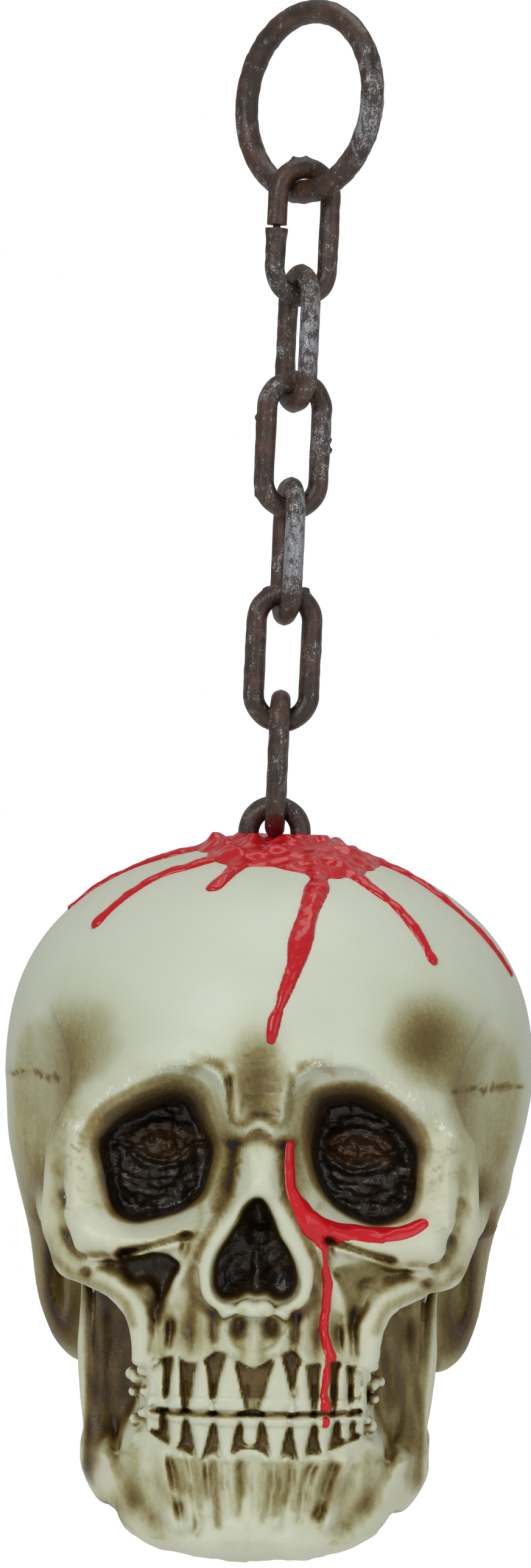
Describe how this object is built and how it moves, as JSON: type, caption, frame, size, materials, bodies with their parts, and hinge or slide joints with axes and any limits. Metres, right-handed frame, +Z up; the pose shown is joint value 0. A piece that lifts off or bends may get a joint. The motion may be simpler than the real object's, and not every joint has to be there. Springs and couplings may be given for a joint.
{
  "type": "hanging skull decoration",
  "caption": "Life-size hollow plastic skull hanging by a crown staple from a chain of loose links and a large ring, with glossy red drips over the crown and below one eye.",
  "frame": {"origin": "top of the hanging ring's bore, where a hook carries the object", "axes": "+Z up along the chain, the face looks towards -Y, +X is on the viewer's right"},
  "size_m": [0.154, 0.186, 0.4436],
  "materials": {
    "chain": "satin brown with worn silver flecks",
    "bone": "pale aged bone with a dark brown wash in the hollows",
    "glue": "clear set glue, inside the skull",
    "blood": "glossy red"
  },
  "bodies": {
    "ring": {"hanging_ring": "chain"},
    "link_1": {"chain_link_1": "chain"},
    "link_2": {"chain_link_2": "chain"},
    "link_3": {"chain_link_3": "chain"},
    "link_4": {"chain_link_4": "chain"},
    "link_5": {"chain_link_5": "chain"},
    "link_6": {"chain_link_6": "chain"},
    "skull": {"crown_staple": "chain", "skull_shell": "bone", "glue_plug": "glue", "blood_crown": "blood", "blood_tear": "blood", "blood_drop": "blood"}
  },
  "joints": [
    {"name": "ring_to_link_1", "type": "hinge", "parent": "ring", "child": "link_1", "pos_m": [0, 0, -0.0485], "axis": [0.7071, -0.7071, 0], "range_deg": [-60, 60]},
    {"name": "link_1_to_link_2", "type": "hinge", "parent": "link_1", "child": "link_2", "pos_m": [0, 0, -0.0787], "axis": [0.9397, 0.342, 0], "range_deg": [-35, 35]},
    {"name": "link_2_to_link_3", "type": "hinge", "parent": "link_2", "child": "link_3", "pos_m": [0, 0, -0.1094], "axis": [0.4226, -0.9063, 0], "range_deg": [-35, 35]},
    {"name": "link_3_to_link_4", "type": "hinge", "parent": "link_3", "child": "link_4", "pos_m": [0, 0, -0.1401], "axis": [0.9781, 0.2079, 0], "range_deg": [-35, 35]},
    {"name": "link_4_to_link_5", "type": "hinge", "parent": "link_4", "child": "link_5", "pos_m": [0, 0, -0.1708], "axis": [0.2419, -0.9703, 0], "range_deg": [-35, 35]},
    {"name": "link_5_to_link_6", "type": "hinge", "parent": "link_5", "child": "link_6", "pos_m": [0, 0, -0.2015], "axis": [0.9962, 0.0872, 0], "range_deg": [-35, 35]},
    {"name": "link_6_to_skull", "type": "hinge", "parent": "link_6", "child": "skull", "pos_m": [0, 0, -0.2322], "axis": [0, -1, 0], "range_deg": [-45, 45]}
  ]
}
